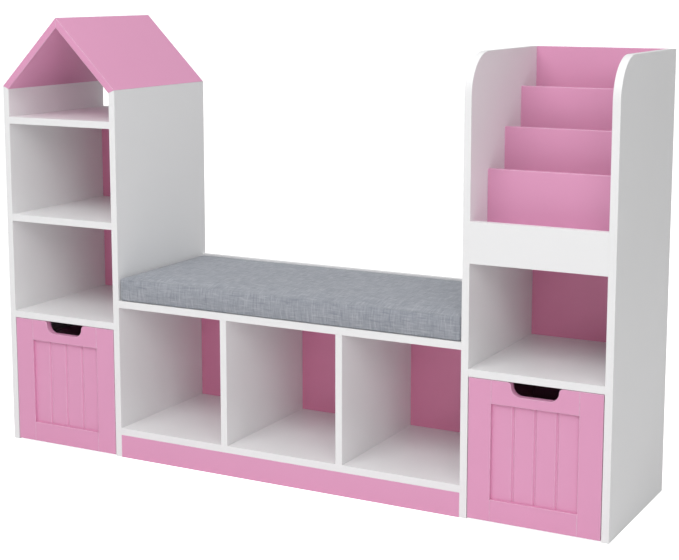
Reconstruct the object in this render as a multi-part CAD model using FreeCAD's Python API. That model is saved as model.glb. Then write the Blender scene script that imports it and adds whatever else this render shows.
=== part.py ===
import FreeCAD, Part
import math
import os

# A children's bookcase: a house-shaped tower on the left, a bench with a cushion in the middle and a
# tower with a stepped book rack on the right, with a pull-out bin at the floor of each tower.
# Millimetres. X to the right, Y to the back, Z up. The origin is on the floor, at the middle of the
# footprint. Each board is one solid in a node of its own.

# ---- driving dimensions -------------------------------------------------------------------------
WIDTH = 1400.0
DEPTH = 340.0
BOARD = 15.0            # sides, shelves, seat, roof
THIN_BOARD = 12.0       # book rack dividers and the rail behind the cushion
PANEL = 9.0             # back panels and the bins' boxes
TOWER_WIDTH = 300.0
RIDGE_HEIGHT = 948.0
RACK_TOWER_HEIGHT = 895.0
RACK_CORNER_RADIUS = 80.0
ATTIC_SHELF_TOP = 731.0
UPPER_SHELF_TOP = 515.0
LOWER_SHELF_TOP = 297.0
SEAT_TOP = 347.0
BENCH_FLOOR_TOP = 65.0
BENCH_BACK_INSET = 12.0     # the bench's back panel lies this far in from the rear edges
RAIL_HEIGHT = 51.0
CUSHION_THICKNESS = 49.0
CUSHION_GAP = 1.5
CUSHION_EDGE_RADIUS = 8.0
APRON_HEIGHT = 80.0
RACK_PITCH = 83.0           # from the front of one rack divider to the front of the next
RACK_STEP = 74.0            # rise from one rack divider's top to the next
FRONT_DIVIDER_TOP = 671.0

BIN_SIDE_GAP = 1.5
BIN_TOP_GAP = 1.0
BIN_FLOOR_GAP = 3.0
BIN_BACK_GAP = 9.0
BIN_BOX_TOP = 225.0         # top of the bin's sides and back
BIN_BOX_INSET = 3.0         # the box is this much narrower than its front, on each side
STILE = 46.0
TOP_RAIL = 46.0
BOTTOM_RAIL = 43.0
RECESS = 6.0                # depth of the grooved panel behind the frame's face
PLANKS = 4
GROOVE_WIDTH = 7.0
NOTCH_DEPTH = 27.0
NOTCH_FLAT = 57.0           # flat bottom of the finger notch
NOTCH_LIP_RADIUS = 8.0      # convex corner at the notch's mouth

# ---- fasteners ----------------------------------------------------------------------------------
FIT = 0.05                  # radial clearance of a fastener in its hole
CAM_RADIUS = 7.5
CAM_DEPTH = 12.5
CAM_SETBACK = 34.0          # from the shelf's end to the cam's centre
CAM_BOLT_RADIUS = 3.0
CAM_BOLT_HOLD = 10.0        # length of bolt in the side panel
DOWEL_RADIUS = 3.0
DOWEL_LENGTH = 24.0
DOWEL_HOLD = 10.0           # length of dowel in the first board
DOWEL_SPACING = 32.0
ROOF_DOWEL_LENGTH = 15.0
EDGE_SETBACK = 50.0         # of the first and last fastener from a board's edge
CONFIRMAT = {"head": 5.0, "shank": 3.5, "head_height": 3.0, "length": 50.0}
PANEL_SCREW = {"head": 3.5, "shank": 1.75, "head_height": 2.5, "length": 25.0}
GLIDE_RADIUS = 10.0
GLIDE_SETBACK = 25.0
BRACKET_THICKNESS = 2.0
BRACKET_WIDTH = 20.0
BRACKET_LEG = 30.0
BRACKET_HOLE_RADIUS = 2.75

# ---- places worked out from them ----------------------------------------------------------------
FRONT = -DEPTH / 2
REAR = DEPTH / 2
LEFT = -WIDTH / 2
RIGHT = WIDTH / 2
BENCH_LEFT = LEFT + TOWER_WIDTH
BENCH_RIGHT = RIGHT - TOWER_WIDTH
LEFT_TOWER = LEFT + TOWER_WIDTH / 2      # centre line of the left tower
RIGHT_TOWER = RIGHT - TOWER_WIDTH / 2
BAY = TOWER_WIDTH - 2 * BOARD            # clear width inside a tower
SHELF_REAR = REAR - PANEL                # shelves stop at the back panel
BENCH_REAR = REAR - BENCH_BACK_INSET - PANEL
EAVE_HEIGHT = RIDGE_HEIGHT - TOWER_WIDTH / 2
MITRE_DROP = BOARD * (math.sqrt(2) - 1)  # fall of the mitre at the eave, across one board
PANEL_FLOOR_GAP = 3.0                    # the towers' back panels stop short of the floor
CUBE_WIDTH = (BENCH_RIGHT - BENCH_LEFT - 2 * BOARD) / 3

X_AXIS = FreeCAD.Vector(1, 0, 0)
Y_AXIS = FreeCAD.Vector(0, 1, 0)
Z_AXIS = FreeCAD.Vector(0, 0, 1)

solids = {}      # node name -> list of its separate solids
cutters = {}     # node name -> list of shapes to take out of it


# ---- building blocks ----------------------------------------------------------------------------
def add(node, solid):
    solids.setdefault(node, []).append(solid)


def drill(node, cutter):
    cutters.setdefault(node, []).append(cutter)


def block(x, y, z):
    """A box from three (low, high) pairs."""
    corner = FreeCAD.Vector(x[0], y[0], z[0])
    return Part.makeBox(x[1] - x[0], y[1] - y[0], z[1] - z[0], corner)


def face_of(edges):
    return Part.Face(Part.Wire(edges))


def polygon(points):
    closed = points + [points[0]]
    return [Part.LineSegment(a, b).toShape() for a, b in zip(closed, closed[1:])]


def front_outline(points, y, depth):
    """A prism whose outline is given as (x, z) points and which runs back from y."""
    corners = [FreeCAD.Vector(px, y, pz) for px, pz in points]
    return face_of(polygon(corners)).extrude(FreeCAD.Vector(0, depth, 0))


def rod(start, direction, radius, length):
    return Part.makeCylinder(radius, length, start, direction)


def screw(start, direction, size, clearance=0.0):
    """A countersunk screw. Its head's flat top is at start and its shank runs along direction."""
    head_radius = size["head"] + clearance
    shank_radius = size["shank"] + clearance
    head = Part.makeCone(head_radius, shank_radius, size["head_height"], start, direction)
    shank = rod(start, direction, shank_radius, size["length"] + clearance)
    return head.fuse(shank).removeSplitter()


def cross_recess(start, direction, size):
    """The cross in a screw's head, as a cutter."""
    reach = size["head"] * 0.6
    half_width = size["head"] * 0.13
    depth = size["head_height"] * 0.6
    bars = []
    for long_side, short_side in ((reach, half_width), (half_width, reach)):
        corner = FreeCAD.Vector(-long_side, -short_side, 0)
        bars.append(Part.makeBox(2 * long_side, 2 * short_side, depth, corner))
    cross = bars[0].fuse(bars[1]).removeSplitter()
    cross.Placement = FreeCAD.Placement(start, FreeCAD.Rotation(Z_AXIS, direction))
    return cross


def fasten(group, first, second, start, direction, size):
    """One screw through the board first into the board second."""
    add(group, screw(start, direction, size).cut(cross_recess(start, direction, size)))
    hole = screw(start, direction, size, FIT)
    drill(first, hole)
    drill(second, hole)


def dowel(group, first, second, start, direction, length=DOWEL_LENGTH, hold=DOWEL_HOLD):
    """One dowel across the joint at start, with the length hold in the board first."""
    begin = start - direction * hold
    add(group, rod(begin, direction, DOWEL_RADIUS, length))
    hole = rod(begin - direction * FIT, direction, DOWEL_RADIUS + FIT, length + 2 * FIT)
    drill(first, hole)
    drill(second, hole)


def cam_fitting(shelf, side, end, outward, y, underside):
    """A cam lock in the shelf's underside and its bolt in the side panel beyond the shelf's end."""
    direction = X_AXIS * outward
    middle = FreeCAD.Vector(end, y, underside + BOARD / 2)
    centre = FreeCAD.Vector(end - outward * CAM_SETBACK, y, underside)
    bolt_start = middle - direction * CAM_SETBACK
    bolt_length = CAM_SETBACK + CAM_BOLT_HOLD
    bore = rod(bolt_start, direction, CAM_BOLT_RADIUS + FIT, bolt_length + FIT)
    cam = rod(centre, Z_AXIS, CAM_RADIUS, CAM_DEPTH)
    add("cam_locks", cam.cut(bore).cut(cross_recess(centre, Z_AXIS, CONFIRMAT)))
    add("cam_bolts", rod(bolt_start, direction, CAM_BOLT_RADIUS, bolt_length))
    drill(shelf, rod(centre, Z_AXIS, CAM_RADIUS + FIT, CAM_DEPTH + FIT))
    drill(shelf, bore)
    drill(side, bore)


def join_shelf(shelf, left_side, right_side, ends, rear, underside):
    """Two cam fittings and two dowels at each end of a shelf."""
    for side, end, outward in ((left_side, ends[0], -1), (right_side, ends[1], 1)):
        for y, inward in ((FRONT + EDGE_SETBACK, 1), (rear - EDGE_SETBACK, -1)):
            cam_fitting(shelf, side, end, outward, y, underside)
            start = FreeCAD.Vector(end, y + inward * DOWEL_SPACING, underside + BOARD / 2)
            dowel("wood_dowels", side, shelf, start, X_AXIS * -outward)


def join_upright(board, left_side, right_side, ends, y, heights):
    """Dowels at both ends of a board that stands between two side panels."""
    for height in heights:
        for side, end, outward in ((left_side, ends[0], -1), (right_side, ends[1], 1)):
            start = FreeCAD.Vector(end, y, height)
            dowel("wood_dowels", side, board, start, X_AXIS * -outward)


def spread(low, high, count):
    """Evenly spaced places from low to high."""
    return [low + (high - low) * i / (count - 1) for i in range(count)]


# ---- left tower ---------------------------------------------------------------------------------
def left_tower_sides():
    mitre_low = EAVE_HEIGHT - MITRE_DROP
    outer = [(LEFT, 0), (LEFT + BOARD, 0), (LEFT + BOARD, mitre_low), (LEFT, EAVE_HEIGHT)]
    inner = [(BENCH_LEFT, 0), (BENCH_LEFT, EAVE_HEIGHT), (BENCH_LEFT - BOARD, mitre_low), (BENCH_LEFT - BOARD, 0)]
    add("left_tower_outer_side", front_outline(outer, FRONT, DEPTH))
    add("left_tower_inner_side", front_outline(inner, FRONT, DEPTH))


def roof():
    """Two panels at 45 degrees, mitred on the tower's sides and against each other at the ridge."""
    ridge_underside = RIDGE_HEIGHT - BOARD * math.sqrt(2)
    for node, side, hand in (
        ("roof_left_panel", "left_tower_outer_side", -1),
        ("roof_right_panel", "left_tower_inner_side", 1),
    ):
        eave = LEFT_TOWER + hand * TOWER_WIDTH / 2
        outline = [
            (eave, EAVE_HEIGHT),
            (LEFT_TOWER, RIDGE_HEIGHT),
            (LEFT_TOWER, ridge_underside),
            (eave - hand * BOARD, EAVE_HEIGHT - MITRE_DROP),
        ]
        add(node, front_outline(outline, FRONT, DEPTH))
        mitre = math.radians(22.5)
        across = FreeCAD.Vector(-hand * math.sin(mitre), 0, math.cos(mitre))
        for y in spread(FRONT + EDGE_SETBACK, REAR - EDGE_SETBACK, 3):
            middle = FreeCAD.Vector(eave - hand * BOARD / 2, y, EAVE_HEIGHT - MITRE_DROP / 2)
            dowel("roof_dowels", side, node, middle, across, ROOF_DOWEL_LENGTH, ROOF_DOWEL_LENGTH / 2)


def left_tower_shelves():
    ends = (LEFT + BOARD, BENCH_LEFT - BOARD)
    for node, top, rear in (
        ("attic_shelf", ATTIC_SHELF_TOP, REAR),
        ("left_tower_upper_shelf", UPPER_SHELF_TOP, SHELF_REAR),
        ("left_tower_lower_shelf", LOWER_SHELF_TOP, SHELF_REAR),
    ):
        add(node, block(ends, (FRONT, rear), (top - BOARD, top)))
        join_shelf(node, "left_tower_outer_side", "left_tower_inner_side", ends, rear, top - BOARD)


def back_panel(node, ends, front, heights, shelves):
    """A back panel, screwed from behind to the rear edges of the shelves it covers."""
    add(node, block(ends, (front, front + PANEL), heights))
    for shelf, top in shelves:
        for x in spread(ends[0] + EDGE_SETBACK, ends[1] - EDGE_SETBACK, 3):
            start = FreeCAD.Vector(x, front + PANEL, top - BOARD / 2)
            fasten("back_panel_screws", node, shelf, start, Y_AXIS * -1, PANEL_SCREW)


def anti_tip_bracket():
    """A steel angle on the attic shelf's rear edge, with a hole for the wall screw."""
    x = (LEFT_TOWER - BRACKET_WIDTH / 2, LEFT_TOWER + BRACKET_WIDTH / 2)
    foot = block(x, (REAR - BRACKET_LEG, REAR), (ATTIC_SHELF_TOP, ATTIC_SHELF_TOP + BRACKET_THICKNESS))
    upright = block(x, (REAR - BRACKET_THICKNESS, REAR), (ATTIC_SHELF_TOP, ATTIC_SHELF_TOP + BRACKET_LEG))
    wall_hole = FreeCAD.Vector(LEFT_TOWER, REAR - 2 * BRACKET_THICKNESS, ATTIC_SHELF_TOP + BRACKET_LEG * 0.6)
    bore = rod(wall_hole, Y_AXIS, BRACKET_HOLE_RADIUS, 3 * BRACKET_THICKNESS)
    add("anti_tip_bracket", foot.fuse(upright).removeSplitter().cut(bore))
    head = FreeCAD.Vector(LEFT_TOWER, REAR - BRACKET_LEG * 0.6, ATTIC_SHELF_TOP + BRACKET_THICKNESS)
    short = dict(PANEL_SCREW, length=BOARD - 1)
    fasten("anti_tip_screw", "anti_tip_bracket", "attic_shelf", head, Z_AXIS * -1, short)


def left_tower():
    left_tower_sides()
    roof()
    left_tower_shelves()
    back_panel(
        "left_tower_back_panel",
        (LEFT + BOARD, BENCH_LEFT - BOARD),
        SHELF_REAR,
        (PANEL_FLOOR_GAP, ATTIC_SHELF_TOP - BOARD),
        (("left_tower_upper_shelf", UPPER_SHELF_TOP), ("left_tower_lower_shelf", LOWER_SHELF_TOP)),
    )
    anti_tip_bracket()


# ---- bench --------------------------------------------------------------------------------------
def bench_boards():
    ends = (BENCH_LEFT, BENCH_RIGHT)
    seat_under = SEAT_TOP - BOARD
    floor_under = BENCH_FLOOR_TOP - BOARD
    sides = ("left_tower_inner_side", "right_tower_inner_side")
    add("bench_seat_board", block(ends, (FRONT, REAR), (seat_under, SEAT_TOP)))
    add("bench_bottom_board", block(ends, (FRONT, BENCH_REAR), (floor_under, BENCH_FLOOR_TOP)))
    join_shelf("bench_seat_board", *sides, ends, REAR, seat_under)
    join_shelf("bench_bottom_board", *sides, ends, BENCH_REAR, floor_under)
    for node, y in (("bench_kick_board", FRONT), ("bench_rear_plinth", BENCH_REAR - BOARD)):
        add(node, block(ends, (y, y + BOARD), (0, floor_under)))
        join_upright(node, *sides, ends, y + BOARD / 2, (floor_under * 0.3, floor_under * 0.7))


def bench_dividers():
    """Two uprights that make three equal cubes, screwed from above and from below."""
    seat_under = SEAT_TOP - BOARD
    for node, number in (("bench_left_divider", 1), ("bench_right_divider", 2)):
        x = BENCH_LEFT + number * CUBE_WIDTH + (number - 1) * BOARD
        add(node, block((x, x + BOARD), (FRONT, BENCH_REAR), (BENCH_FLOOR_TOP, seat_under)))
        middle = x + BOARD / 2
        for y in (FRONT + EDGE_SETBACK, BENCH_REAR - EDGE_SETBACK):
            above = FreeCAD.Vector(middle, y, SEAT_TOP)
            below = FreeCAD.Vector(middle, y, BENCH_FLOOR_TOP - BOARD)
            fasten("confirmat_screws", "bench_seat_board", node, above, Z_AXIS * -1, CONFIRMAT)
            fasten("confirmat_screws", "bench_bottom_board", node, below, Z_AXIS, CONFIRMAT)


def bench_back():
    ends = (BENCH_LEFT, BENCH_RIGHT)
    heights = (BENCH_FLOOR_TOP - BOARD, SEAT_TOP - BOARD)
    back_panel("bench_back_panel", ends, BENCH_REAR, heights, (("bench_bottom_board", BENCH_FLOOR_TOP),))
    for node, number in (("bench_left_divider", 1), ("bench_right_divider", 2)):
        x = BENCH_LEFT + number * CUBE_WIDTH + (number - 0.5) * BOARD
        for z in spread(heights[0] + 2 * EDGE_SETBACK, heights[1] - EDGE_SETBACK, 3):
            start = FreeCAD.Vector(x, BENCH_REAR + PANEL, z)
            fasten("back_panel_screws", "bench_back_panel", node, start, Y_AXIS * -1, PANEL_SCREW)


def cushion_rail():
    """The low board behind the cushion, doweled to the seat and to both towers."""
    ends = (BENCH_LEFT, BENCH_RIGHT)
    y = (REAR - THIN_BOARD, REAR)
    add("cushion_back_rail", block(ends, y, (SEAT_TOP, SEAT_TOP + RAIL_HEIGHT)))
    sides = ("left_tower_inner_side", "right_tower_inner_side")
    join_upright("cushion_back_rail", *sides, ends, sum(y) / 2, (SEAT_TOP + RAIL_HEIGHT * 0.6,))
    for x in spread(ends[0] + 2 * EDGE_SETBACK, ends[1] - 2 * EDGE_SETBACK, 4):
        start = FreeCAD.Vector(x, sum(y) / 2, SEAT_TOP)
        dowel("wood_dowels", "bench_seat_board", "cushion_back_rail", start, Z_AXIS)


def seat_cushion():
    x = (BENCH_LEFT + CUSHION_GAP, BENCH_RIGHT - CUSHION_GAP)
    y = (FRONT, REAR - THIN_BOARD - CUSHION_GAP)
    pad = block(x, y, (SEAT_TOP, SEAT_TOP + CUSHION_THICKNESS))
    add("seat_cushion", pad.makeFillet(CUSHION_EDGE_RADIUS, pad.Edges))


def bench():
    bench_boards()
    bench_dividers()
    bench_back()
    cushion_rail()
    seat_cushion()


# ---- right tower --------------------------------------------------------------------------------
def right_tower_sides():
    """Side panels with their top front corner rounded to a large radius."""
    for node, x in (("right_tower_inner_side", BENCH_RIGHT), ("right_tower_outer_side", RIGHT - BOARD)):
        side = block((x, x + BOARD), (FRONT, REAR), (0, RACK_TOWER_HEIGHT))
        for edge in side.Edges:
            middle = edge.CenterOfMass
            at_front = abs(middle.y - FRONT) < 1
            at_top = abs(middle.z - RACK_TOWER_HEIGHT) < 1
            if at_front and at_top:
                corner = edge
        add(node, side.makeFillet(RACK_CORNER_RADIUS, [corner]))


def book_rack():
    """A floor and an apron, with three dividers that rise towards the back."""
    ends = (BENCH_RIGHT + BOARD, RIGHT - BOARD)
    sides = ("right_tower_inner_side", "right_tower_outer_side")
    underside = UPPER_SHELF_TOP - BOARD
    add("bookrack_floor", block(ends, (FRONT + BOARD, SHELF_REAR), (underside, UPPER_SHELF_TOP)))
    join_shelf("bookrack_floor", *sides, ends, SHELF_REAR, underside)
    add("bookrack_apron", block(ends, (FRONT, FRONT + BOARD), (underside, underside + APRON_HEIGHT)))
    heights = (underside + APRON_HEIGHT * 0.3, underside + APRON_HEIGHT * 0.75)
    join_upright("bookrack_apron", *sides, ends, FRONT + BOARD / 2, heights)
    for number, name in enumerate(("front", "middle", "rear")):
        node = "bookrack_" + name + "_divider"
        y = FRONT + (number + 1) * RACK_PITCH
        top = FRONT_DIVIDER_TOP + number * RACK_STEP
        add(node, block(ends, (y, y + THIN_BOARD), (UPPER_SHELF_TOP, top)))
        heights = (UPPER_SHELF_TOP + EDGE_SETBACK, top - EDGE_SETBACK)
        join_upright(node, *sides, ends, y + THIN_BOARD / 2, heights)


def right_tower():
    ends = (BENCH_RIGHT + BOARD, RIGHT - BOARD)
    underside = LOWER_SHELF_TOP - BOARD
    right_tower_sides()
    add("right_tower_lower_shelf", block(ends, (FRONT, SHELF_REAR), (underside, LOWER_SHELF_TOP)))
    sides = ("right_tower_inner_side", "right_tower_outer_side")
    join_shelf("right_tower_lower_shelf", *sides, ends, SHELF_REAR, underside)
    book_rack()
    back_panel(
        "right_tower_back_panel",
        ends,
        SHELF_REAR,
        (PANEL_FLOOR_GAP, RACK_TOWER_HEIGHT),
        (("bookrack_floor", UPPER_SHELF_TOP), ("right_tower_lower_shelf", LOWER_SHELF_TOP)),
    )


# ---- bins ---------------------------------------------------------------------------------------
BIN_HALF = BAY / 2 - BIN_SIDE_GAP
BIN_TOP = LOWER_SHELF_TOP - BOARD - BIN_TOP_GAP
BIN_REAR = SHELF_REAR - BIN_BACK_GAP
BOX_HALF = BIN_HALF - BIN_BOX_INSET
BOX_FLOOR = BIN_FLOOR_GAP + PANEL


def notched_rail(centre):
    """The top rail. Its finger notch has a flat bottom, two rounded corners and two rounded lips."""
    half_flat = NOTCH_FLAT / 2
    bottom = BIN_TOP - NOTCH_DEPTH
    corner_radius = NOTCH_DEPTH - NOTCH_LIP_RADIUS
    wall = half_flat + corner_radius
    mouth = wall + NOTCH_LIP_RADIUS
    diagonal = math.sqrt(0.5)

    def at(x, z):
        return FreeCAD.Vector(centre + x, FRONT, z)

    def half(hand):
        """From the notch's flat to its mouth, on one side of the centre line."""
        flat_end = at(hand * half_flat, bottom)
        wall_point = at(hand * wall, bottom + corner_radius)
        inside = at(
            hand * (half_flat + corner_radius * diagonal),
            bottom + corner_radius * (1 - diagonal),
        )
        lip = at(
            hand * (mouth - NOTCH_LIP_RADIUS * diagonal),
            BIN_TOP - NOTCH_LIP_RADIUS * (1 - diagonal),
        )
        mouth_point = at(hand * mouth, BIN_TOP)
        return flat_end, inside, wall_point, lip, mouth_point

    left = half(-1)
    right = half(1)
    rail_half = BIN_HALF - STILE
    top_left, top_right = at(-rail_half, BIN_TOP), at(rail_half, BIN_TOP)
    low_left, low_right = at(-rail_half, BIN_TOP - TOP_RAIL), at(rail_half, BIN_TOP - TOP_RAIL)
    edges = [
        Part.LineSegment(top_left, left[4]),
        Part.Arc(left[4], left[3], left[2]),
        Part.Arc(left[2], left[1], left[0]),
        Part.LineSegment(left[0], right[0]),
        Part.Arc(right[0], right[1], right[2]),
        Part.Arc(right[2], right[3], right[4]),
        Part.LineSegment(right[4], top_right),
        Part.LineSegment(top_right, low_right),
        Part.LineSegment(low_right, low_left),
        Part.LineSegment(low_left, top_left),
    ]
    outline = face_of([edge.toShape() for edge in edges])
    return outline.extrude(FreeCAD.Vector(0, BOARD, 0))


def grooved_panel(centre):
    """The panel inside the front's frame, cut into planks by V-grooves at 90 degrees."""
    half = BIN_HALF - STILE
    heights = (BIN_FLOOR_GAP + BOTTOM_RAIL, BIN_TOP - TOP_RAIL)
    face = FRONT + RECESS
    panel = block((centre - half, centre + half), (face, FRONT + BOARD), heights)
    for number in range(1, PLANKS):
        x = centre - half + number * 2 * half / PLANKS
        corners = [
            FreeCAD.Vector(x - GROOVE_WIDTH / 2, face, heights[0]),
            FreeCAD.Vector(x + GROOVE_WIDTH / 2, face, heights[0]),
            FreeCAD.Vector(x, face + GROOVE_WIDTH / 2, heights[0]),
        ]
        groove = face_of(polygon(corners)).extrude(FreeCAD.Vector(0, 0, heights[1] - heights[0]))
        panel = panel.cut(groove)
    return panel


def bin_front(name, centre):
    thickness = (FRONT, FRONT + BOARD)
    height = (BIN_FLOOR_GAP, BIN_TOP)
    inner = BIN_HALF - STILE
    add(name + "_left_stile", block((centre - BIN_HALF, centre - inner), thickness, height))
    add(name + "_right_stile", block((centre + inner, centre + BIN_HALF), thickness, height))
    bottom = (BIN_FLOOR_GAP, BIN_FLOOR_GAP + BOTTOM_RAIL)
    add(name + "_bottom_rail", block((centre - inner, centre + inner), thickness, bottom))
    add(name + "_top_rail", notched_rail(centre))
    add(name + "_grooved_panel", grooved_panel(centre))


def bin_box(name, centre):
    """Base, two sides and a back, behind the front."""
    outside = (centre - BOX_HALF, centre + BOX_HALF)
    inner_front = FRONT + BOARD
    inner_rear = BIN_REAR - PANEL
    walls = (BOX_FLOOR, BIN_BOX_TOP)
    add(name + "_base", block(outside, (inner_front, BIN_REAR), (BIN_FLOOR_GAP, BOX_FLOOR)))
    add(name + "_back", block(outside, (inner_rear, BIN_REAR), walls))
    for side, hand in (("_left_side", -1), ("_right_side", 1)):
        middle = centre + hand * (BOX_HALF - PANEL / 2)
        x = (middle - PANEL / 2, middle + PANEL / 2)
        add(name + side, block(x, (inner_front, inner_rear), walls))
        stile = name + side.replace("side", "stile")
        for z in spread(BOX_FLOOR + EDGE_SETBACK, BIN_BOX_TOP - EDGE_SETBACK / 2, 3):
            front_joint = FreeCAD.Vector(middle, inner_front, z)
            dowel(name + "_dowels", stile, name + side, front_joint, Y_AXIS)
            rear_joint = FreeCAD.Vector(middle, BIN_REAR, z)
            fasten(name + "_screws", name + "_back", name + side, rear_joint, Y_AXIS * -1, PANEL_SCREW)
        for y in spread(inner_front + EDGE_SETBACK, inner_rear - EDGE_SETBACK, 3):
            under = FreeCAD.Vector(middle, y, BIN_FLOOR_GAP)
            fasten(name + "_screws", name + "_base", name + side, under, Z_AXIS, PANEL_SCREW)


def bin_glides(name, centre):
    """Round plastic glides with a short pin, one near each corner of the base."""
    for x in (centre - BOX_HALF + GLIDE_SETBACK, centre + BOX_HALF - GLIDE_SETBACK):
        for y in (FRONT + BOARD + GLIDE_SETBACK, BIN_REAR - GLIDE_SETBACK):
            foot = FreeCAD.Vector(x, y, 0)
            head = FreeCAD.Vector(x, y, BIN_FLOOR_GAP)
            lower = Part.makeCone(GLIDE_RADIUS - 1, GLIDE_RADIUS, 1, foot)
            upper = rod(foot + Z_AXIS, Z_AXIS, GLIDE_RADIUS, BIN_FLOOR_GAP - 1)
            pin = rod(head, Z_AXIS, 1.5, PANEL * 0.7)
            add(name + "_glides", lower.fuse([upper, pin]).removeSplitter())
            drill(name + "_base", rod(head, Z_AXIS, 1.5 + FIT, PANEL * 0.7 + FIT))


def pull_out_bin(name, centre):
    bin_front(name, centre)
    bin_box(name, centre)
    bin_glides(name, centre)


# ---- the whole bookcase -------------------------------------------------------------------------
def finished(node):
    """The node's solids with its holes cut."""
    holes = cutters.get(node)
    if not holes:
        return solids[node]
    return [solid.cut(holes).Solids[0] for solid in solids[node]]


def main():
    left_tower()
    bench()
    right_tower()
    pull_out_bin("left_bin", LEFT_TOWER)
    pull_out_bin("right_bin", RIGHT_TOWER)
    os.makedirs("parts", exist_ok=True)
    for node in solids:
        shapes = finished(node)
        whole = shapes[0] if len(shapes) == 1 else Part.makeCompound(shapes)
        whole.exportStep("parts/" + node + ".step")
        print(node, len(shapes), "solids", round(whole.Volume / 1000, 2), "cm3", "valid", whole.isValid())


main()
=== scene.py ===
"""The looks of a cube storage unit: two towers, a bench with a cushion, two bins and a book rack.

The boards, bins and fasteners are the frame's own nodes, with painted, metal, wood and plastic
materials. Their arrises are rounded in the shading. The seat cushion is made here: a boxed cover with
sewn seams, filled by a cloth simulation. Everything is in metres, in the frame's own axes: X to the
right, Y to the back, Z up.
"""
import math

import bmesh
import bpy
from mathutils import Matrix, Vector, noise


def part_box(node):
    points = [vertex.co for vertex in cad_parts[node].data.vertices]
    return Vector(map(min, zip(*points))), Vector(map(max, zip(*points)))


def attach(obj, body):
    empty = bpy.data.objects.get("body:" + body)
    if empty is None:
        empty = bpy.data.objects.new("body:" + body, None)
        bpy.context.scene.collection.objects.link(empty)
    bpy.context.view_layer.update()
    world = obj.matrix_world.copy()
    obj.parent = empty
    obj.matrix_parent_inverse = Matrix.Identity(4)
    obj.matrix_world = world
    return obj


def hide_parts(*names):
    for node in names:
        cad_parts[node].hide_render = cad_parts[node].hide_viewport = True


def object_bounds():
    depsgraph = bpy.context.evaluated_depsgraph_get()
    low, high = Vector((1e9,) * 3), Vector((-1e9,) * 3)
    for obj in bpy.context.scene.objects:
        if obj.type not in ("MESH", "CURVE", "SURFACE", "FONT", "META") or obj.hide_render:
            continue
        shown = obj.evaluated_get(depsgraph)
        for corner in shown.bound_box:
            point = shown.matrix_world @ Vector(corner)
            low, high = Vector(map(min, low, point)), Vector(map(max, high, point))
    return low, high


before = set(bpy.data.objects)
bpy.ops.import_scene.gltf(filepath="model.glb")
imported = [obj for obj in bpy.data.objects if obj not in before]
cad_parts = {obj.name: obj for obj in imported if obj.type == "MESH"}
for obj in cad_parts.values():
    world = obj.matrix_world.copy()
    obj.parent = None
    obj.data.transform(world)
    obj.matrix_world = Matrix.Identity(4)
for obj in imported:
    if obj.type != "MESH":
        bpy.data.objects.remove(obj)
cad_low, cad_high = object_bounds()

MM = 0.001

# The camera: the direction it looks in, its lens, and where it aims, from the middle of the CAD box.
CAMERA_AZIMUTH = 28.22
CAMERA_PITCH = 8.61
CAMERA_DISTANCE = 3.193
CAMERA_LENS = 80.34
CAMERA_SHIFT = -0.10
CAMERA_SENSOR = 36.0
CAMERA_AIM = Vector((0.031, 0.029, 0.070))

# The rounding that the shading gives the boards' arrises.
WHITE_ARRIS = 0.8 * MM
PINK_ARRIS = 2.0 * MM

# The paints, as linear colours, and the lighter colour on the arrises: a painted highlight with some rubbed
# wear.
WHITE_PAINT = (0.90, 0.90, 0.905)
WHITE_WEAR_AND_HIGHLIGHT = (0.93, 0.93, 0.93, 1.0)
PINK_PAINT = (0.785, 0.350, 0.555)
PINK_WEAR_AND_HIGHLIGHT = (0.92, 0.64, 0.79, 1.0)

# Painted shade deepening the pink inside the cubbies, and each back panel with the board above its cubbies.
CUBBY_PAINTED_SHADE = (1.22, 0.92, 0.98, 1.0)
BACK_PANELS = {
    "left_tower_back_panel": "attic_shelf",
    "bench_back_panel": "bench_seat_board",
    "right_tower_back_panel": "bookrack_floor",
}

# The cushion: its room beside the towers and the rail, its shape, its seams, and the cloth that fills it.
CUSHION_SLACK = 1.5 * MM
CUSHION_CROWN = 4.0 * MM
CROWN_FULLNESS = 0.35
CUSHION_PULL_IN = 2.0 * MM
CUSHION_BELLY = 1.5 * MM
SIDE_STIFFNESS = 7
CUSHION_EDGE_RADIUS = 5.5 * MM
CUSHION_CELL = 6.5 * MM
SEAM_DEPTH = 0.9 * MM
SEAM_SHOULDER = 0.5 * MM
SEAM_WIDTH = 0.35 * CUSHION_EDGE_RADIUS
SEAM_CORE = 0.9
SEAM_HOLD = 0.75
CLOTH_PRESSURE = 4.0
CLOTH_FRAMES = 20
CLOTH_REACH = 5 * MM
RIPPLE_HEIGHT = 0.35 * MM

# The cushion's cloth: the distance between its threads, and the length of a stitch with its gap.
WEFT_PITCH = 1.15 * MM
WARP_PITCH = 1.05 * MM
STITCH_PITCH = 3.5 * MM

# The studio: the sky's brightness, and each softbox's place, width and height, and power in watts.
SKY_STRENGTH = 0.39
SOFTBOXES = {
    "front_light": ((-0.2, -2.6, 3.2), (2.6, 1.6), 49),
    "top_light": ((0.0, -0.4, 3.2), (3.0, 2.0), 24),
    "right_light": ((4.6, -5.6, 3.6), (3.6, 2.6), 98),
}

# The floor: its own glow, which keeps it pale, how wide it is, and how far away the backdrop is.
FLOOR_GLOW = 0.93
FLOOR_RADIUS = 70.0
BACKDROP_RADIUS = 78.0


# ---------------------------------------------------------------------------------------------- node trees

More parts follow.
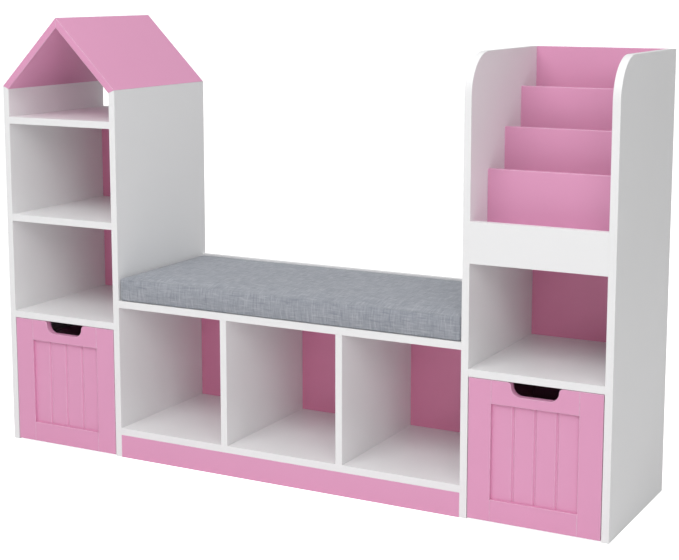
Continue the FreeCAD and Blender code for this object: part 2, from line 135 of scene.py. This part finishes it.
class Graph:
    """The node tree of one material, whose surface is a Principled shader."""

    def __init__(self, name):
        self.material = bpy.data.materials.new(name)
        self.material.use_nodes = True
        self.tree = self.material.node_tree
        self.tree.nodes.clear()
        self.output = self.tree.nodes.new("ShaderNodeOutputMaterial")
        self.shader = self.tree.nodes.new("ShaderNodeBsdfPrincipled")
        self.tree.links.new(self.shader.outputs["BSDF"], self.output.inputs["Surface"])

    def node(self, kind, inputs=None, **settings):
        """A node with its settings, whose inputs are constants or links to other nodes' outputs."""
        made = self.tree.nodes.new("ShaderNode" + kind)
        for name, value in settings.items():
            setattr(made, name, value)
        for name, value in (inputs or {}).items():
            self.feed(made.inputs[name], value)
        return made

    def feed(self, socket, value):
        """Links a socket to an output, or sets it to a constant."""
        if isinstance(value, bpy.types.NodeSocket):
            self.tree.links.new(value, socket)
        else:
            socket.default_value = value

    def shade(self, **values):
        """Sets inputs of the Principled shader, whose names are written with underscores."""
        for name, value in values.items():
            self.feed(self.shader.inputs[name.replace("_", " ")], value)

    def place(self):
        """The point being shaded, in metres, in the object's own axes."""
        return self.node("TexCoord").outputs["Object"]

    def stretched(self, vector, scale):
        """A vector multiplied by a scale along each axis."""
        return self.node("VectorMath", {0: vector, 1: scale}, operation="MULTIPLY").outputs["Vector"]

    def noise(self, vector, scale, detail=2.0, roughness=0.5):
        """Noise from 0 to 1, with about one lump in each 1/scale metres."""
        inputs = {"Vector": vector, "Scale": scale, "Detail": detail, "Roughness": roughness}
        return self.node("TexNoise", inputs).outputs["Fac"]

    def math(self, operation, a, b=0.0, c=0.5):
        """One sum on numbers, of which most sums use two."""
        return self.node("Math", {0: a, 1: b, 2: c}, operation=operation).outputs["Value"]

    def axes(self, vector):
        """A vector's three numbers."""
        split = self.node("SeparateXYZ", {"Vector": vector})
        return tuple(split.outputs[axis] for axis in "XYZ")

    def number(self, factor, a, b):
        """Two numbers, mixed by a factor."""
        return self.node("Mix", {"Factor": factor, 2: a, 3: b}, data_type="FLOAT").outputs[0]

    def ramp(self, value, low, high, to_low=0.0, to_high=1.0):
        """A value's range from low to high, carried over to another range and held inside it."""
        inputs = {"Value": value, "From Min": low, "From Max": high, "To Min": to_low, "To Max": to_high}
        return self.node("MapRange", inputs, clamp=True).outputs["Result"]

    def mix(self, factor, a, b, blend="MIX"):
        """Two colours, mixed or multiplied by a factor."""
        made = self.node("Mix", {"Factor": factor}, data_type="RGBA", blend_type=blend)
        self.feed(made.inputs[6], a)
        self.feed(made.inputs[7], b)
        return made.outputs[2]

    def bump(self, height, distance, strength=1.0, normal=None):
        """A normal that follows a height from 0 to 1, which stands for that distance in metres."""
        made = self.node("Bump", {"Height": height, "Distance": distance, "Strength": strength})
        if normal is not None:
            self.feed(made.inputs["Normal"], normal)
        return made.outputs["Normal"]


def colour(red, green, blue):
    """A colour as four numbers."""
    return (red, green, blue, 1.0)


def tinted(base, factor):
    """A colour made lighter or darker."""
    return colour(*(min(1.0, channel * factor) for channel in base[:3]))


# ---------------------------------------------------------------------------------------------- materials

def paint_cubby_shade(graph, place, face, ceiling):
    """Painted shade: a board's colour made deeper on the side that faces the front, below a height, inside
    the cubby.
    """
    facing = graph.axes(graph.node("TexCoord").outputs["Normal"])[1]
    height = graph.axes(place)[2]
    to_front = graph.math("LESS_THAN", facing, -0.5)
    inside = graph.math("MULTIPLY", to_front, graph.math("LESS_THAN", height, ceiling))
    return graph.mix(inside, face, CUBBY_PAINTED_SHADE, blend="MULTIPLY")


def painted_board(name, base, edge, roughness, arris, ceiling=None):
    """Satin board: slightly uneven colour, orange-peel skin, fine grain; arrises rounded, painted lighter
    as highlight and wear.
    """
    graph = Graph(name)
    place = graph.place()
    rounded = graph.node("Bevel", {"Radius": arris}, samples=6).outputs["Normal"]
    flat = graph.node("NewGeometry").outputs["Normal"]
    turned = graph.node("VectorMath", {0: rounded, 1: flat}, operation="DOT_PRODUCT").outputs["Value"]
    broken = graph.ramp(graph.noise(place, 90.0, 3.0), 0.35, 0.60, 0.45, 1.0)
    # The arrises are painted lighter: a painted highlight, with some rubbed wear.
    wear_and_highlight = graph.math("MULTIPLY", graph.ramp(turned, 0.995, 0.90), broken)
    clouds = graph.noise(place, 2.6, 3.0)
    flecks = graph.noise(place, 950.0, 2.0)
    face = graph.mix(graph.ramp(clouds, 0.3, 0.7), tinted(base, 0.985), tinted(base, 1.01))
    face = graph.mix(graph.ramp(flecks, 0.58, 0.75, 0.0, 0.35), face, tinted(base, 0.93))
    # Below the ceiling, the front faces get painted shade, a deeper pink.
    if ceiling is not None:
        face = paint_cubby_shade(graph, place, face, ceiling)
    graph.shade(Base_Color=graph.mix(wear_and_highlight, face, edge))
    patches = graph.ramp(graph.noise(place, 14.0, 4.0), 0.3, 0.7, roughness - 0.04, roughness + 0.04)
    graph.shade(Roughness=graph.math("ADD", patches, graph.math("MULTIPLY", wear_and_highlight, 0.10)))
    skin = graph.bump(graph.noise(place, 420.0, 1.0), 0.045 * MM, normal=rounded)
    graph.shade(Normal=graph.bump(graph.noise(place, 1300.0, 2.0), 0.015 * MM, normal=skin))
    graph.shade(IOR=1.48)
    return graph.material


def pink_board(name, ceiling=None):
    """The pink satin board, with painted shade that makes it a deeper pink inside a cubby whose ceiling's
    height is given.
    """
    return painted_board(name, PINK_PAINT, PINK_WEAR_AND_HIGHLIGHT, 0.40, PINK_ARRIS, ceiling)


def zinc_plate():
    """Zinc-plated steel: bright, faintly blue, with plating spangle and fine turning marks."""
    graph = Graph("zinc_plate")
    place = graph.place()
    spangle = graph.node("TexVoronoi", {"Vector": place, "Scale": 450.0}).outputs["Color"]
    tone = graph.node("SeparateColor", {"Color": spangle}).outputs["Red"]
    graph.shade(Base_Color=graph.mix(tone, colour(0.56, 0.58, 0.61), colour(0.70, 0.71, 0.71)))
    graph.shade(Metallic=1.0)
    graph.shade(Roughness=graph.ramp(graph.noise(place, 600.0, 3.0), 0.3, 0.7, 0.26, 0.44))
    graph.shade(Normal=graph.bump(graph.noise(place, 1800.0, 2.0), 0.02 * MM))
    return graph.material


def beech_wood():
    """Turned beech: pale brown, with growth bands and short dark flecks."""
    graph = Graph("beech_wood")
    place = graph.place()
    bands = graph.noise(graph.stretched(place, (0.15, 1.0, 1.0)), 700.0, 3.0)
    flecks = graph.noise(graph.stretched(place, (0.25, 1.0, 1.0)), 2400.0, 2.0)
    wood = graph.mix(bands, colour(0.50, 0.33, 0.19), colour(0.68, 0.49, 0.31))
    graph.shade(Base_Color=graph.mix(graph.ramp(flecks, 0.6, 0.8), wood, colour(0.36, 0.22, 0.12)))
    graph.shade(Roughness=graph.ramp(bands, 0.3, 0.7, 0.50, 0.66))
    graph.shade(Normal=graph.bump(flecks, 0.05 * MM))
    return graph.material


def glide_nylon():
    """Moulded nylon: off-white, with a spark-eroded skin that is polished where it slides."""
    graph = Graph("glide_nylon")
    place = graph.place()
    skin = graph.noise(place, 1500.0, 2.0)
    graph.shade(Base_Color=graph.mix(skin, colour(0.70, 0.70, 0.68), colour(0.78, 0.78, 0.76)))
    graph.shade(Roughness=graph.ramp(graph.noise(place, 200.0, 3.0), 0.3, 0.7, 0.38, 0.58))
    graph.shade(Normal=graph.bump(skin, 0.05 * MM))
    return graph.material


def waves(graph, value, pitch, operation):
    """A sine or cosine of a length, which goes through one turn in each pitch."""
    return graph.math(operation, graph.math("MULTIPLY", value, math.tau / pitch))


def streaks(graph, along, across, per_metre_along, per_metre_across, offset, detail):
    """Noise drawn out along one direction of the cloth."""
    x = graph.math("MULTIPLY", along, per_metre_along)
    y = graph.math("MULTIPLY", across, per_metre_across)
    where = graph.node("CombineXYZ", {"X": x, "Y": y, "Z": offset}).outputs["Vector"]
    return graph.noise(where, 1.0, detail)


def thread_set(graph, along, across, pitch):
    """One set of parallel threads: their round height, their shades, and their thick places."""
    height = graph.math("MULTIPLY_ADD", waves(graph, across, pitch, "COSINE"), 0.5)
    fine = streaks(graph, along, across, 42.0, 0.85 / pitch, 0.0, 1.0)
    slubs = streaks(graph, along, across, 36.0, 330.0, 7.3, 2.0)
    return height, fine, slubs


def linen():
    """Grey-blue melange: slubby threads woven over each other, in flat pieces that meet at the seams."""
    graph = Graph("cushion_linen")
    x, y, z = graph.axes(graph.place())
    normal = graph.node("TexCoord").outputs["Normal"]
    size = graph.node("VectorMath", {0: normal}, operation="ABSOLUTE").outputs["Vector"]
    facing_x, facing_y, facing_z = graph.axes(size)
    on_end = graph.math("GREATER_THAN", facing_x, graph.math("MAXIMUM", facing_y, facing_z))
    on_top = graph.math("GREATER_THAN", facing_z, graph.math("MAXIMUM", facing_x, facing_y))
    u = graph.number(on_end, x, y)
    v = graph.number(on_top, z, y)
    weft_height, weft_fine, weft_slubs = thread_set(graph, u, v, WEFT_PITCH)
    warp_height, warp_fine, warp_slubs = thread_set(graph, v, u, WARP_PITCH)
    across_u = waves(graph, u, 2 * WARP_PITCH, "SINE")
    across_v = waves(graph, v, 2 * WEFT_PITCH, "SINE")
    crossings = graph.math("MULTIPLY", across_u, across_v)
    over = graph.ramp(crossings, -0.25, 0.25)
    fine = graph.number(over, weft_fine, warp_fine)
    weft_light = graph.ramp(weft_slubs, 0.55, 0.74)
    warp_light = graph.ramp(warp_slubs, 0.55, 0.74)
    weft_dark = graph.ramp(weft_slubs, 0.45, 0.26)
    warp_dark = graph.ramp(warp_slubs, 0.45, 0.26)
    light_slubs = graph.math("MAXIMUM", weft_light, warp_light)
    dark_slubs = graph.math("MAXIMUM", weft_dark, warp_dark)
    cloth = graph.mix(graph.ramp(fine, 0.3, 0.7), colour(0.30, 0.32, 0.37), colour(0.44, 0.46, 0.505))
    cloth = graph.mix(graph.math("MULTIPLY", light_slubs, 0.55), cloth, colour(0.60, 0.62, 0.65))
    cloth = graph.mix(graph.math("MULTIPLY", dark_slubs, 0.50), cloth, colour(0.20, 0.22, 0.27))
    seam = graph.node("Attribute", attribute_name="seam", attribute_type="GEOMETRY").outputs["Fac"]
    dashes = waves(graph, graph.math("ADD", u, v), STITCH_PITCH, "SINE")
    stitch = graph.math("MULTIPLY", graph.ramp(dashes, -0.2, 0.3), graph.ramp(seam, 0.80, 0.97))
    thread = graph.math("MULTIPLY", stitch, 0.7)
    graph.shade(Base_Color=graph.mix(thread, cloth, colour(0.66, 0.68, 0.72)))
    bumps = graph.bump(graph.number(over, weft_height, warp_height), 0.28 * MM)
    bumps = graph.bump(light_slubs, 0.25 * MM, normal=bumps)
    graph.shade(Normal=graph.bump(stitch, 0.4 * MM, normal=bumps))
    graph.shade(Roughness=graph.ramp(fine, 0.3, 0.7, 0.86, 0.98))
    graph.shade(Sheen_Weight=0.18)
    graph.shade(Sheen_Roughness=0.55)
    graph.shade(Specular_IOR_Level=0.25)
    return graph.material


def pale_floor(glow):
    """A plain pale studio floor with a hardly visible mottle, which glows a little itself."""
    graph = Graph("studio_floor")
    mottle = graph.noise(graph.place(), 1.4, 3.0)
    graph.shade(Base_Color=graph.mix(mottle, colour(0.90, 0.90, 0.90), colour(0.93, 0.93, 0.93)))
    graph.shade(Roughness=0.75)
    graph.shade(Emission_Color=colour(1.0, 1.0, 1.0))
    graph.shade(Emission_Strength=glow)
    return graph.material


# ---------------------------------------------------------------------------------------------- the boards

def dress_nodes():
    """Gives each CAD node its slot's material, and the back panels painted shade, a deeper pink, inside the
    cubbies.
    """
    finishes = {
        "white_board": painted_board("white_satin", WHITE_PAINT, WHITE_WEAR_AND_HIGHLIGHT, 0.42, WHITE_ARRIS),
        "pink_board": pink_board("pink_satin"),
        "zinc_steel": zinc_plate(),
        "beech": beech_wood(),
        "glide_plastic": glide_nylon(),
    }
    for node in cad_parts.values():
        held = node.material_slots[0]
        held.material = finishes.get(held.material.name, held.material)
    # The back panels' front faces are painted a deeper pink inside the cubbies, as painted shade.
    for name, shelf_above in BACK_PANELS.items():
        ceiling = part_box(shelf_above)[0].z
        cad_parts[name].material_slots[0].material = pink_board("pink_satin_" + name, ceiling)


# ---------------------------------------------------------------------------------------------- the cushion

def stations(low, high, cell, edge):
    """Places from low to high, close together near both ends and about a cell apart between them."""
    steps = (0.0, 0.12, 0.35, 0.65, 1.0)
    near = [low + edge * step for step in steps]
    far = [high - edge * step for step in reversed(steps)]
    count = max(2, round((far[0] - near[-1]) / cell))
    between = [near[-1] + (far[0] - near[-1]) * index / count for index in range(1, count)]
    return near + between + far


def box_lattice(xs, ys, zs):
    """A closed mesh of quads on the six sides of a box, with a vertex wherever two stations cross."""
    work = bmesh.new()
    made = {}
    last = (len(xs) - 1, len(ys) - 1, len(zs) - 1)

    def vertex(*index):
        if index not in made:
            made[index] = work.verts.new((xs[index[0]], ys[index[1]], zs[index[2]]))
        return made[index]

    for axis in range(3):
        first, second = [(1, 2), (2, 0), (0, 1)][axis]
        for side in (0, last[axis]):
            for i in range(last[first]):
                for j in range(last[second]):
                    corners = []
                    for step_i, step_j in ((0, 0), (1, 0), (1, 1), (0, 1)):
                        index = [0, 0, 0]
                        index[axis] = side
                        index[first] = i + step_i
                        index[second] = j + step_j
                        corners.append(vertex(*index))
                    work.faces.new(corners if side else corners[::-1])
    return work


def rounded_point(point, low, high, radius):
    """A point on a box's surface, moved on to the box's rounded form."""
    inner = Vector(min(max(point[axis], low[axis] + radius), high[axis] - radius) for axis in range(3))
    out = point - inner
    longest = max(abs(value) for value in out)
    if longest == 0.0:
        return point.copy()
    return inner + out.normalized() * radius * (longest / radius)


def filled_out(point, low, high):
    """The tailored shape: a crowned top, a flat underside, and sides that pull in between the corners."""
    middle = (low + high) / 2
    half = (high - low) / 2
    u, v, w = ((point[axis] - middle[axis]) / half[axis] for axis in range(3))
    bowed_u = 1 - u * u
    bowed_v = 1 - v * v
    belly = 1 - w * w
    crown = CUSHION_CROWN * (bowed_u * bowed_v) ** CROWN_FULLNESS * max(0.0, w)
    pull = CUSHION_PULL_IN - CUSHION_BELLY * belly
    pull_y = pull * bowed_u * v ** SIDE_STIFFNESS
    pull_x = pull * bowed_v * u ** SIDE_STIFFNESS
    return point + Vector((-pull_x, -pull_y, crown))


def seam_share(point, low, high):
    """1 on the seam round the top or the underside, falling to 0 a short way from it."""
    side = min(point.x - low.x, high.x - point.x, point.y - low.y, high.y - point.y)
    level = min(point.z - low.z, high.z - point.z)
    return max(0.0, 1 - max(side, level) / SEAM_WIDTH)


def cover_mesh(low, high):
    """The cushion's cover before it is filled, with how near each vertex is to a seam."""
    xs, ys, zs = (stations(low[axis], high[axis], CUSHION_CELL, CUSHION_EDGE_RADIUS) for axis in range(3))
    work = box_lattice(xs, ys, zs)
    seam = work.verts.layers.float.new("seam")
    for vertex in work.verts:
        vertex[seam] = seam_share(vertex.co, low, high)
        vertex.co = filled_out(rounded_point(vertex.co, low, high, CUSHION_EDGE_RADIUS), low, high)
    mesh = bpy.data.meshes.new("seat_cushion_cover")
    work.to_mesh(mesh)
    work.free()
    return mesh


def fill_with_cloth(piece):
    """Blows the cover up a little with Blender's cloth, and keeps each point near its tailored place."""
    tailored = [vertex.co.copy() for vertex in piece.data.vertices]
    seams = piece.vertex_groups.new(name="seam_hold")
    for vertex, share in zip(piece.data.vertices, piece.data.attributes["seam"].data):
        seams.add([vertex.index], SEAM_HOLD if share.value > SEAM_CORE else 0.0, "REPLACE")
    cloth = piece.modifiers.new("filling", "CLOTH")
    cloth.settings.quality = 6
    cloth.settings.mass = 0.25
    cloth.settings.tension_stiffness = 12
    cloth.settings.compression_stiffness = 12
    cloth.settings.shear_stiffness = 6
    cloth.settings.bending_stiffness = 0.6
    cloth.settings.vertex_group_mass = "seam_hold"
    cloth.settings.pin_stiffness = 0.3
    cloth.settings.use_pressure = True
    cloth.settings.uniform_pressure_force = CLOTH_PRESSURE
    cloth.settings.effector_weights.gravity = 0.0
    cloth.point_cache.frame_start = 1
    cloth.point_cache.frame_end = CLOTH_FRAMES
    for number in range(1, CLOTH_FRAMES + 1):
        bpy.context.scene.frame_set(number)
    filled = piece.evaluated_get(bpy.context.evaluated_depsgraph_get())
    places = [vertex.co.copy() for vertex in filled.data.vertices]
    piece.modifiers.remove(cloth)
    bpy.context.scene.frame_set(1)
    for vertex, start, end in zip(piece.data.vertices, tailored, places):
        moved = end - start
        if moved.length > CLOTH_REACH:
            moved *= CLOTH_REACH / moved.length
        vertex.co = start + moved


def sew_seams(piece, low, high):
    """Sinks the seams into the cover, with a soft shoulder on both sides, and puckers the cloth there."""
    piece.data.update()
    middle = (low + high) / 2
    shares = [item.value for item in piece.data.attributes["seam"].data]
    normals = [vertex.normal.copy() for vertex in piece.data.vertices]
    for vertex, share, normal in zip(piece.data.vertices, shares, normals):
        sheet = 3.0 if vertex.co.z > middle.z else 0.0
        pucker = noise.noise(Vector((vertex.co.x * 70, vertex.co.y * 70, sheet)))
        depth = 0.0
        if share > SEAM_CORE:
            depth = SEAM_DEPTH * (1 + 0.5 * pucker)
        elif share > 0:
            depth = -SEAM_SHOULDER * (1 + pucker)
        ripple = RIPPLE_HEIGHT * noise.noise(vertex.co * 22.0)
        vertex.co -= normal * (depth - ripple)


def keep_inside(piece, low, high):
    """Keeps the cover out of the seat board, the towers and the rail, which press it flat."""
    for vertex in piece.data.vertices:
        vertex.co.x = min(max(vertex.co.x, low.x), high.x)
        vertex.co.y = min(vertex.co.y, high.y)
        vertex.co.z = max(vertex.co.z, low.z)


def seat_cushion():
    """The loose cushion on the bench."""
    low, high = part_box("seat_cushion")
    slack = Vector((CUSHION_SLACK, CUSHION_SLACK, CUSHION_SLACK))
    start_low = low + slack
    start_high = high - slack
    start_low.z = low.z
    start_high.z = high.z
    piece = bpy.data.objects.new("seat_cushion_cover", cover_mesh(start_low, start_high))
    bpy.context.scene.collection.objects.link(piece)
    fill_with_cloth(piece)
    sew_seams(piece, start_low, start_high)
    keep_inside(piece, low, high)
    piece.data.shade_smooth()
    piece.modifiers.new("smooth", "SUBSURF").render_levels = 1
    piece.data.materials.append(linen())
    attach(piece, "cushion")
    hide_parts("seat_cushion")
    return piece


# ---------------------------------------------------------------------------------------------- the studio

def stage_piece(name, work, material):
    """An object of the studio, from a bmesh."""
    mesh = bpy.data.meshes.new(name)
    work.to_mesh(mesh)
    work.free()
    mesh.materials.append(material)
    piece = bpy.data.objects.new(name, mesh)
    bpy.context.scene.collection.objects.link(piece)
    return piece


def disc(name, material, height):
    """A wide round floor at a height."""
    work = bmesh.new()
    bmesh.ops.create_circle(work, cap_ends=True, segments=96, radius=FLOOR_RADIUS)
    piece = stage_piece(name, work, material)
    piece.location.z = height
    return piece


def studio_floor():
    """The pale floor that is seen, one that only throws light back, and a white backdrop all round."""
    seen = disc("studio_floor", pale_floor(FLOOR_GLOW), cad_low.z - 0.2 * MM)
    seen.visible_diffuse = False
    seen.visible_glossy = False
    seen.visible_shadow = False
    bounce = disc("bounce_floor", pale_floor(0.0), cad_low.z - 0.4 * MM)
    bounce.visible_camera = False
    work = bmesh.new()
    bmesh.ops.create_icosphere(work, subdivisions=4, radius=BACKDROP_RADIUS)
    backdrop = stage_piece("backdrop", work, pale_floor(1.0))
    backdrop.visible_diffuse = False
    backdrop.visible_glossy = False
    backdrop.visible_shadow = False
    backdrop.visible_transmission = False


def softbox(name, place, size, power, target):
    """A rectangular studio light that looks at a target."""
    light = bpy.data.lights.new(name, "AREA")
    light.shape = "RECTANGLE"
    light.size = size[0]
    light.size_y = size[1]
    light.energy = power
    lamp = bpy.data.objects.new(name, light)
    lamp.location = place
    lamp.rotation_euler = (target - Vector(place)).to_track_quat("-Z", "Y").to_euler()
    bpy.context.scene.collection.objects.link(lamp)


def studio_light():
    """A weak even sky, a softbox high in front, one above, and a large one far off to the right."""
    world = bpy.data.worlds.new("studio_sky")
    world.use_nodes = True
    sky = world.node_tree.nodes["Background"]
    sky.inputs["Color"].default_value = colour(1.0, 1.0, 1.0)
    sky.inputs["Strength"].default_value = SKY_STRENGTH
    bpy.context.scene.world = world
    middle = (cad_low + cad_high) / 2
    for name, (place, size, power) in SOFTBOXES.items():
        softbox(name, place, size, power, middle)


def studio_camera():
    """The camera, turned to the object's right side and tipped down a little."""
    azimuth = math.radians(CAMERA_AZIMUTH)
    pitch = math.radians(CAMERA_PITCH)
    level = math.cos(pitch)
    back = Vector((math.sin(azimuth) * level, -math.cos(azimuth) * level, math.sin(pitch)))
    data = bpy.data.cameras.new("studio_camera")
    data.lens = CAMERA_LENS
    data.sensor_width = CAMERA_SENSOR
    data.shift_y = CAMERA_SHIFT
    camera = bpy.data.objects.new("studio_camera", data)
    camera.location = (cad_low + cad_high) / 2 + CAMERA_AIM + back * CAMERA_DISTANCE
    camera.rotation_mode = "QUATERNION"
    camera.rotation_quaternion = (-back).to_track_quat("-Z", "Y")
    bpy.context.scene.collection.objects.link(camera)
    bpy.context.scene.camera = camera
    bpy.context.scene.view_settings.view_transform = "Standard"


studio_camera()
studio_floor()
studio_light()
dress_nodes()
seat_cushion()
